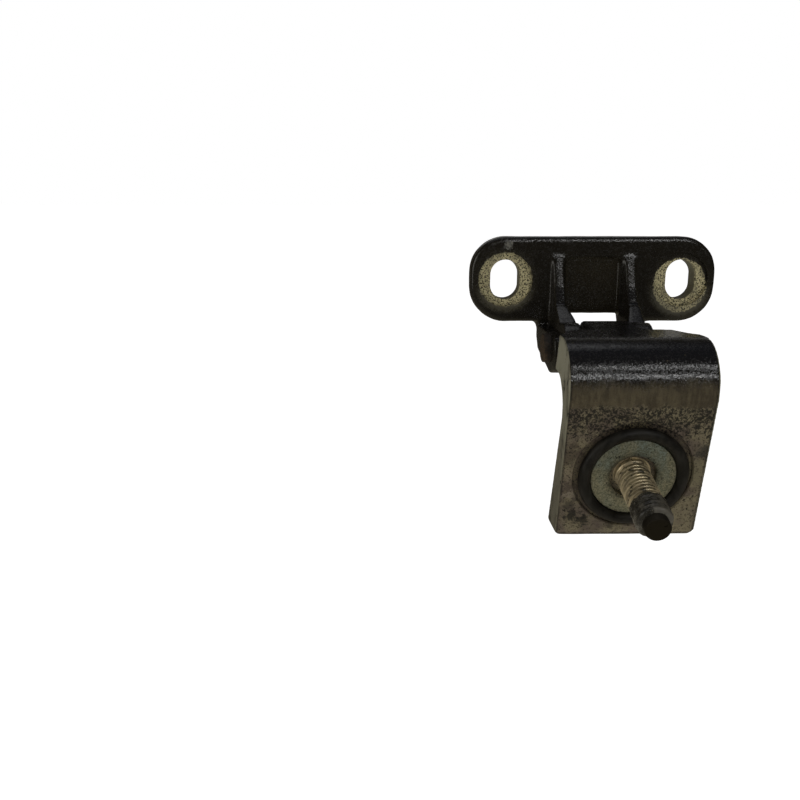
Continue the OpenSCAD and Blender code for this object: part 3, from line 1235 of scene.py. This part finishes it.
def dress(piece: Piece, finish: Finish, slot: Slot, body: Body, *nodes: str) -> None:
    """Gives a finished piece its material and body, and hides the frame nodes that it replaces.

    Args:
        piece: the finished object.
        finish: the finish it wears.
        slot: the record's material slot; not used.
        body: the body it rides on.
        nodes: frame nodes that it replaces.
    """
    piece.data.materials.clear()
    piece.data.materials.append(finish.material())
    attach(piece, body.value)
    if nodes:
        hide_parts(*nodes)
    LOG.info("%s: %d faces, rides on %s", piece.name, len(piece.data.polygons), body.value)


# ---------------------------------------------------------------- places from the record


@dataclass
class Places:
    """Axes and points that the record states."""

    disc_stand: float = 0.8 * MM

    def mount(self, name: str) -> dict:
        """A mount of the record by name."""
        return next(m for m in frame["record"]["mounts"] if m["name"] == name)

    def pin(self) -> Vector:
        """The point where the hinge axis crosses the middle plane."""
        return Vector(frame["joints"][0]["pos_m"])

    def stud_frame(self) -> Matrix:
        """The leaf's flat at the stud's foot, with +Z along the stud.

        Returns:
            The frame as a matrix.
        """
        stud = self.mount("glass_stud")
        axis = Vector(stud["axis"]).normalized()
        seat = Vector(self.mount("glass_seat")["pos_m"]) - axis * self.disc_stand
        middle = Vector(stud["pos_m"])
        foot = middle - axis * (middle - seat).dot(axis)
        turn = axis.to_track_quat("Z", "Y").to_matrix().to_4x4()
        return Matrix.Translation(foot) @ turn

    def pin_frame(self, side: int) -> Matrix:
        """The hinge axis at the middle plane, with +Z towards one side."""
        turn = Matrix.Rotation(side * math.pi / 2, 4, "Y")
        return Matrix.Translation(self.pin()) @ turn


# ---------------------------------------------------------------- the pieces


@dataclass
class BracketCasting:
    """The painted bracket: plate, ribs and ears blended as one casting."""

    finish: Finish
    places: Places
    voxel: float = 0.36 * MM
    smoothing: int = 16
    plate_t: float = 6.5 * MM
    slot_spacing: float = 50 * MM
    slot_w: float = 8.4 * MM
    slot_h: float = 11.2 * MM
    seat_r: float = 7.6 * MM
    seat_depth: float = 0.9 * MM
    plug_margin: float = 1.2 * MM
    lump_size: float = 5 * MM
    lump_height: float = 0.16 * MM
    pin_r: float = 3.0 * MM
    pin_reach: float = 20 * MM
    clear: float = 2 * MM

    def plugs(self) -> list[Piece]:
        """Solid discs that fill the slots until the casting is smooth.

        Returns:
            The discs, one for each slot.
        """
        return [
            cylinder_between(
                Vector((side * self.slot_spacing / 2, 0, 0)),
                Vector((side * self.slot_spacing / 2, -self.plate_t, 0)),
                self.seat_r + self.plug_margin,
            )
            for side in (-1, 1)
        ]

    def cut_seat(self, piece: Piece, side: int) -> None:
        """Machines one round seat and its slot.

        Args:
            piece: the casting.
            side: -1 for left and 1 for right.
        """
        x = side * self.slot_spacing / 2
        face = Vector((x, -self.plate_t + self.seat_depth, 0))
        front = Vector((x, face.y - 2 * self.clear, 0))
        cut_away(piece, cylinder_between(face, front, self.seat_r))
        rise = (self.slot_h - self.slot_w) / 2
        back = Vector((x, self.clear, 0))
        front = Vector((x, -self.plate_t - self.clear, 0))
        cutter = cylinder_between(back, front, self.slot_w / 2)
        activate(cutter)
        bpy.ops.object.mode_set(mode="EDIT")
        shape = bmesh.from_edit_mesh(cutter.data)
        for end in (1, -1):
            for vertex in shape.verts:
                vertex.select_set(vertex.co.z * end > TINY)
            shape.select_flush(True)
            bpy.ops.transform.translate(value=(0, 0, end * rise))
        bpy.ops.object.mode_set(mode="OBJECT")
        cut_away(piece, cutter)

    def build(self) -> None:
        """Builds and dresses the casting."""
        piece = copy_of_node("mounting_bracket", "bracket_casting")
        join_into(piece, self.plugs())
        recast(piece, self.voxel, self.smoothing, self.lump_size, self.lump_height)
        for side in (-1, 1):
            self.cut_seat(piece, side)
        pin = self.places.pin()
        reach = Vector((self.pin_reach, 0, 0))
        cut_away(piece, cylinder_between(pin - reach, pin + reach, self.pin_r))
        close_up(piece)
        dress(piece, self.finish, Slot.PAINT, Body.BRACKET, "mounting_bracket")


@dataclass
class GooseneckLeaf:
    """The leaf: knuckle, flared tongue, bend and thick flat."""

    finish: Finish
    places: Places
    voxel: float = 0.36 * MM
    smoothing: int = 5
    seat_r: float = 14.3 * MM
    seat_depth: float = 1.0 * MM
    chamfer: float = 0.3 * MM
    plug_t: float = 3 * MM
    plug_margin: float = 0.6 * MM
    lump_size: float = 6 * MM
    lump_height: float = 0.08 * MM
    stud_bore_r: float = 4.6 * MM
    bore_depth: float = 20 * MM
    bush_r: float = 4.0 * MM
    knuckle_reach: float = 12 * MM
    clear: float = 4 * MM

    def cut_seat(self, piece: Piece, where: Matrix) -> None:
        """Machines the ring's round seat, with a small chamfer at its rim.

        Args:
            piece: the leaf.
            where: the seat's frame, with +Z out of the leaf.
        """
        wide = self.seat_r + 2 * self.chamfer
        cutter = turn_on_lathe("seat_cutter", [
            (0, -self.seat_depth), (self.seat_r, -self.seat_depth), (self.seat_r, -self.chamfer),
            (wide, self.chamfer), (wide, self.clear), (0, self.clear),
        ], steps=128)
        place(cutter, where)
        cut_away(piece, cutter)

    def build(self) -> None:
        """Builds and dresses the leaf."""
        piece = copy_of_node("hinge_leaf", "gooseneck_leaf")
        stud = self.places.stud_frame()
        along = stud.to_3x3() @ Vector((0, 0, 1))
        foot = stud.translation
        plug = cylinder_between(foot - along * self.plug_t, foot, self.seat_r + self.plug_margin)
        join_into(piece, [plug])
        recast(piece, self.voxel, self.smoothing, self.lump_size, self.lump_height)
        self.cut_seat(piece, stud)
        back, front = foot - along * self.bore_depth, foot + along * self.clear
        cut_away(piece, cylinder_between(back, front, self.stud_bore_r))
        pin = self.places.pin()
        reach = Vector((self.knuckle_reach, 0, 0))
        cut_away(piece, cylinder_between(pin - reach, pin + reach, self.bush_r))
        close_up(piece)
        dress(piece, self.finish, Slot.LEAF, Body.LEAF, "hinge_leaf")


@dataclass
class StudAssembly:
    """Everything round the stud: thread, compound, rubber ring and clamp disc."""

    thread_finish: Finish
    compound_finish: Finish
    rubber_finish: Finish
    disc_finish: Finish
    places: Places
    major_r: float = 4.0 * MM
    root_r: float = 3.7 * MM
    pitch: float = 1.25 * MM
    length: float = 21.9 * MM
    dog_r: float = 2.95 * MM
    dog_l: float = 2.4 * MM
    cone_l: float = 0.7 * MM
    coat_l: float = 6.0 * MM
    coat_overrun: float = 0.9 * MM
    coat_t: float = 0.16 * MM
    closing: float = 0.14
    overlap: float = 0.1 * MM
    shank_r: float = 4.55 * MM
    collar_r: float = 4.2 * MM
    collar_h: float = 0.5 * MM
    seat_depth: float = 1.0 * MM
    flat_t: float = 6.8 * MM
    head_r: float = 7.0 * MM
    head_t: float = 2.4 * MM
    ring_r: float = 11.8 * MM
    ring_section: float = 3.0 * MM
    disc_r: float = 10.2 * MM
    disc_t: float = 1.8 * MM
    disc_hole_r: float = 5.6 * MM

    def shank(self) -> Piece:
        """The turned body of the stud: head, collar, core and dog point.

        Returns:
            The turned body, standing on Z.
        """
        round_over = 0.35 * MM
        dimple, rim_drop = 0.12 * MM, 0.05 * MM
        core_end = self.length - self.dog_l - self.cone_l
        core_r = self.root_r + self.overlap
        return turn_on_lathe("glass_stud_thread", [
            (0, -self.flat_t), (self.head_r - round_over, -self.flat_t),
            (self.head_r, -self.flat_t + round_over), (self.head_r, -self.flat_t + self.head_t),
            (self.shank_r, -self.flat_t + self.head_t), (self.shank_r, -self.seat_depth),
            (self.collar_r, -self.seat_depth), (self.collar_r, self.collar_h - round_over),
            (self.collar_r - round_over, self.collar_h), (core_r, self.collar_h + self.overlap),
            (core_r, core_end), (self.dog_r, core_end + self.cone_l),
            (self.dog_r, self.length - round_over),
            (self.dog_r - self.overlap, self.length - dimple),
            (self.dog_r - round_over, self.length), (self.dog_r * 0.55, self.length - rim_drop),
            (0, self.length - dimple),
        ])

    def thread(self) -> Piece:
        """The helical thread, cut square at both ends.

        Returns:
            The turns, standing on Z.
        """
        start = self.collar_h + self.overlap / 2
        end = self.length - self.dog_l - self.cone_l - self.overlap
        turns = math.ceil((end - start) / self.pitch) + 2
        rise, fall = 0.2 * self.pitch, 0.66 * self.pitch
        worn_r, worn_z = self.major_r - 0.12 * MM, 0.08 * MM
        piece = draw_section("thread_turns", [
            (self.root_r, 0), (worn_r, rise), (self.major_r, rise + worn_z), (self.major_r, fall),
            (worn_r, fall + worn_z), (self.root_r, 0.86 * self.pitch), (self.root_r, self.pitch),
        ], closed=False)
        bpy.ops.object.mode_set(mode="OBJECT")
        apply_modifier(
            piece, "SCREW", axis="Z", angle=FULL_TURN, screw_offset=self.pitch, iterations=turns,
            steps=72, render_steps=72, use_merge_vertices=True, merge_threshold=self.overlap / 10,
        )
        activate(piece)
        bpy.ops.object.mode_set(mode="EDIT")
        bpy.ops.mesh.select_all(action="SELECT")
        bpy.ops.transform.translate(value=(0, 0, start - self.pitch))
        for height, side in ((start, -1), (end, 1)):
            bpy.ops.mesh.select_all(action="SELECT")
            bpy.ops.mesh.bisect(
                plane_co=(0, 0, height),
                plane_no=(0, 0, side),
                use_fill=True,
                clear_outer=True,
                threshold=1e-7,
            )
        bpy.ops.object.mode_set(mode="OBJECT")
        clean_up(piece)
        return piece

    def build_stud(self, where: Matrix) -> None:
        """The stud with its thread.

        Args:
            where: the stud's frame, with +Z along the stud.
        """
        piece = self.shank()
        join_into(piece, [self.thread()])
        place(piece, where)
        smooth_shading(piece, 32)
        dress(piece, self.thread_finish, Slot.STUD, Body.LEAF, "glass_stud")

    def build_compound(self, where: Matrix) -> None:
        """Dried compound that fills the last turns, lumpy and ridged.

        Args:
            where: the stud's frame, with +Z along the stud.
        """
        end = self.length - self.dog_l + self.overlap
        start = end - self.coat_l - self.coat_overrun
        rings = 30
        ridge = 0.09 * MM
        opening, lip = 9, 40
        outside = []
        for i in range(rings + 1):
            share = i / rings
            z = start + (end - start) * share
            fade = math.sqrt(min(1.0, share * opening)) * min(1.0, share * lip)
            closing = math.sqrt(min(1.0, (1 - share) / self.closing))
            full = self.major_r + self.coat_t + ridge * math.sin(FULL_TURN * z / self.pitch)
            narrowing = max(0.0, 1 - (1 - share) / self.closing)
            low = self.root_r + (self.dog_r - self.root_r) * narrowing
            outside.append((low + (full - low) * fade * closing, z))
        inside = [(self.dog_r - self.overlap, end), (self.dog_r - self.overlap, start)]
        piece = turn_on_lathe("thread_compound", outside + inside, closed=True)
        roughen(piece, 1.5 * MM, 0.5 * MM, depth=3, level=0.5)
        place(piece, where)
        smooth_shading(piece, 60)
        dress(piece, self.compound_finish, Slot.COMPOUND, Body.LEAF, "thread_coating")

    def build_ring(self, where: Matrix) -> None:
        """The rubber ring, with the moulding line round its outside.

        Args:
            where: the stud's frame, with +Z along the stud.
        """
        half = self.ring_section / 2
        middle = half - self.seat_depth
        flash = 0.05 * MM
        sides = 40
        section = []
        for i in range(sides):
            angle = FULL_TURN * i / sides
            swell = half if i in (0, sides // 2) else half - flash
            out, up = swell * math.cos(angle), swell * math.sin(angle)
            section.append((self.ring_r + out, middle + up))
        piece = turn_on_lathe("rubber_ring", section, closed=True, steps=128)
        roughen(piece, 9 * MM, 0.07 * MM)
        place(piece, where)
        smooth_shading(piece, 60)
        dress(piece, self.rubber_finish, Slot.RUBBER, Body.LEAF, "seal_ring")

    def build_disc(self, where: Matrix) -> None:
        """The stamped disc: rolled outer edge, raised burr round the hole.

        Args:
            where: the stud's frame, with +Z along the stud.
        """
        low, high = -self.seat_depth, self.disc_t - self.seat_depth
        roll = 0.3 * MM
        outer, inner = self.disc_r, self.disc_hole_r
        piece = turn_on_lathe("clamp_disc_plate", [
            (inner, low), (outer - roll, low), (outer, low + roll), (outer, high - roll),
            (outer - roll * 0.3, high - roll * 0.3), (outer - roll, high), (inner + 1.5 * MM, high),
            (inner + 0.9 * MM, high - 0.04 * MM), (inner + 0.35 * MM, high - 0.16 * MM),
            (inner, high - 0.5 * MM),
        ], closed=True, steps=128)
        roughen(piece, 7 * MM, 0.05 * MM)
        place(piece, where)
        smooth_shading(piece, 40)
        dress(piece, self.disc_finish, Slot.DISC, Body.LEAF, "clamp_disc")

    def build(self) -> None:
        """Builds the four pieces on the leaf's flat."""
        where = self.places.stud_frame()
        self.build_stud(where)
        self.build_compound(where)
        self.build_ring(where)
        self.build_disc(where)


@dataclass
class PinAndBushes:
    """The riveted pin, and the bushes that it turns in."""

    pin_finish: Finish
    bush_finish: Finish
    places: Places
    pin_r: float = 3.0 * MM
    head_r: float = 3.9 * MM
    head_t: float = 2.0 * MM
    peened_r: float = 3.45 * MM
    peened_t: float = 1.4 * MM
    half_span: float = 14.9 * MM

    def build_pin(self) -> None:
        """The pin: a soft-edged head on the left and a hammered end on the right."""
        tip = self.half_span + self.head_t
        peen = self.half_span + self.peened_t
        piece = turn_on_lathe("riveted_pin", [
            (0, -tip), (self.head_r * 0.6, -tip), (self.head_r - 0.45 * MM, -tip + 0.05 * MM),
            (self.head_r - 0.1 * MM, -tip + 0.2 * MM), (self.head_r, -tip + 0.5 * MM),
            (self.head_r, -self.half_span), (self.pin_r, -self.half_span),
            (self.pin_r, self.half_span), (self.peened_r, self.half_span),
            (self.peened_r, self.half_span + 0.35 * self.peened_t),
            (self.peened_r - 0.35 * MM, self.half_span + 0.8 * self.peened_t),
            (self.peened_r * 0.65, peen), (self.peened_r * 0.4, peen - 0.25 * MM),
            (0, peen - 0.3 * MM),
        ], steps=64)
        place(piece, self.places.pin_frame(1))
        smooth_shading(piece, 45)
        dress(piece, self.pin_finish, Slot.PIN, Body.BRACKET, "hinge_pin")

    def dress_bushes(self) -> None:
        """Gives the frame's own bushes their bronze."""
        for node in ("bush_left", "bush_right"):
            bush = frame["nodes"][node]
            bush.data.materials.clear()
            bush.data.materials.append(self.bush_finish.material())
            LOG.info("%s: dressed", node)

    def build(self) -> None:
        """Builds the pin and dresses the bushes."""
        self.build_pin()
        self.dress_bushes()


# ---------------------------------------------------------------- the studio


@dataclass(frozen=True)
class Softbox:
    """One area light, aimed at a point."""

    name: str
    place: Point
    target: Point
    size: tuple[float, float]
    watts: float
    tint: Rgb = (1.0, 1.0, 1.0)

    def build(self) -> None:
        """Adds the light."""
        data = bpy.data.lights.new(self.name, "AREA")
        data.shape = "RECTANGLE"
        data.size, data.size_y = self.size
        data.energy = self.watts
        data.color = self.tint
        light = bpy.data.objects.new(self.name, data)
        light.location = self.place
        aim = Vector(self.target) - Vector(self.place)
        light.rotation_euler = aim.to_track_quat("-Z", "Y").to_euler()
        bpy.context.scene.collection.objects.link(light)


@dataclass
class Studio:
    """Camera, pale floor, soft lights and surroundings."""

    eye: Point = (-0.05827, -0.24837, 0.02115)
    look: Point = (0.013708, 0.974126, -0.225589)
    lens_mm: float = 38.25
    sensor_mm: float = 36.0
    floor_z: float = -0.095
    floor_size: float = 200.0
    table: Rgb = (0.22, 0.20, 0.145)
    walls: Rgb = (0.045, 0.04, 0.031)
    ceiling: Rgb = (0.062, 0.068, 0.094)

    def camera(self) -> None:
        """A level camera, a little above the part and to its left."""
        data = bpy.data.cameras.new("camera")
        data.lens = self.lens_mm
        data.sensor_width = self.sensor_mm
        data.clip_start = 0.01
        data.clip_end = 50
        data.dof.use_dof = False
        camera = bpy.data.objects.new("camera", data)
        camera.location = self.eye
        camera.rotation_euler = Vector(self.look).to_track_quat("-Z", "Y").to_euler()
        bpy.context.scene.collection.objects.link(camera)
        bpy.context.scene.camera = camera

    def floor(self) -> None:
        """A plain pale floor below the part."""
        deselect_all()
        bpy.ops.mesh.primitive_plane_add(size=self.floor_size, location=(0, 0, self.floor_z))
        floor = bpy.context.object
        floor.name = "floor"
        floor.visible_glossy = False
        material = bpy.data.materials.new("pale_floor")
        material.use_nodes = True
        shader = material.node_tree.nodes["Principled BSDF"].inputs
        shader["Base Color"].default_value = (0.55, 0.55, 0.54, 1)
        shader["Roughness"].default_value = 0.9
        shader["Specular IOR Level"].default_value = 0.0
        shader["Emission Color"].default_value = (1, 1, 1, 1)
        shader["Emission Strength"].default_value = 1.0
        floor.data.materials.append(material)

    def surroundings(self) -> None:
        """White to the camera; a dim room with a lighter ceiling to everything else."""
        world = bpy.data.worlds.new("studio")
        bpy.context.scene.world = world
        world.use_nodes = True
        graph = Graph(world.node_tree)
        world.node_tree.nodes.clear()
        direction = graph.add("ShaderNodeTexCoord").outputs["Generated"]
        height = graph.axis(direction, "Z")
        low = graph.blend(graph.ease(height, -0.75, -0.1), self.table, self.walls)
        room = graph.blend(graph.ease(height, 0.6, 0.98), low, self.ceiling)
        dim = graph.add("ShaderNodeBackground")
        graph.feed(room, dim.inputs["Color"])
        white = graph.add("ShaderNodeBackground")
        white.inputs["Color"].default_value = (1, 1, 1, 1)
        seen = graph.add("ShaderNodeLightPath").outputs["Is Camera Ray"]
        mix = graph.add("ShaderNodeMixShader")
        graph.feed(seen, mix.inputs[0])
        graph.feed(dim.outputs[0], mix.inputs[1])
        graph.feed(white.outputs[0], mix.inputs[2])
        graph.feed(mix.outputs[0], graph.add("ShaderNodeOutputWorld").inputs[0])

    def lights(self) -> None:
        """Two long boxes in front, one above, and soft fills at the left and behind."""
        target = (0.0, -0.04, -0.02)
        boxes = (
            Softbox("key_box", (0.30, -0.62, 0.62), target, (0.34, 0.016), 0.5),
            Softbox("front_box", (0.25, -0.85, 0.36), target, (0.5, 0.02), 1.05),
            Softbox("top_box", (-0.1, 0.2, 0.9), target, (0.8, 0.3), 0.5),
            Softbox("left_fill", (-0.9, -0.5, 0.2), target, (0.5, 0.7), 1.8, (1.0, 0.97, 0.9)),
            Softbox("back_fill", (0.3, 1.0, 0.3), target, (0.8, 0.6), 0.35),
        )
        for box in boxes:
            box.build()

    def build(self) -> None:
        """Builds the whole studio."""
        self.camera()
        self.floor()
        self.surroundings()
        self.lights()
        bpy.context.scene.view_settings.view_transform = "Standard"


def main() -> None:
    """Builds the studio and every piece in order."""
    logging.basicConfig(level=logging.INFO, format="%(name)s: %(message)s")
    places = Places()
    Studio().build()
    where = places.stud_frame()
    BracketCasting(CastingPaint("casting_paint"), places).build()
    GooseneckLeaf(WornLeafPaint("worn_leaf_paint"), places).build()
    StudAssembly(
        thread_finish=ThreadMetal(
            "thread_metal",
            light=(0.55, 0.45, 0.27),
            dark=(0.27, 0.22, 0.135),
            metallic=0.5,
            polish=0.32,
            fleck_scale=1.1,
            fleck_cover=0.25,
            to_stud=tuple(tuple(row) for row in where.inverted()),
        ),
        compound_finish=SoftBlack(
            "dried_compound",
            colour=(0.016, 0.0145, 0.011),
            bloom=(0.10, 0.09, 0.068),
            matt=0.3,
            shine=0.6,
            grain=1.0,
            relief=0.2 * MM,
        ),
        rubber_finish=SoftBlack("ring_rubber"),
        disc_finish=PlatedDisc(
            "plated_disc_metal",
            light=(0.36, 0.33, 0.21),
            dark=(0.13, 0.13, 0.088),
            tint=(0.24, 0.285, 0.24),
            relief=0.12 * MM,
            centre=tuple(where.translation / MM),
        ),
        places=places,
    ).build()
    PinAndBushes(
        pin_finish=DirtyMetal(
            "rusty_pin",
            light=(0.05, 0.03, 0.015),
            dark=(0.018, 0.013, 0.009),
            metallic=0.25,
            polish=0.5,
            fleck_cover=0.45,
            relief=0.15 * MM,
        ),
        bush_finish=DirtyMetal(
            "bush_bronze_metal", light=(0.035, 0.027, 0.014), dark=(0.015, 0.012, 0.007)
        ),
        places=places,
    ).build()


if __name__ == "__main__":
    main()
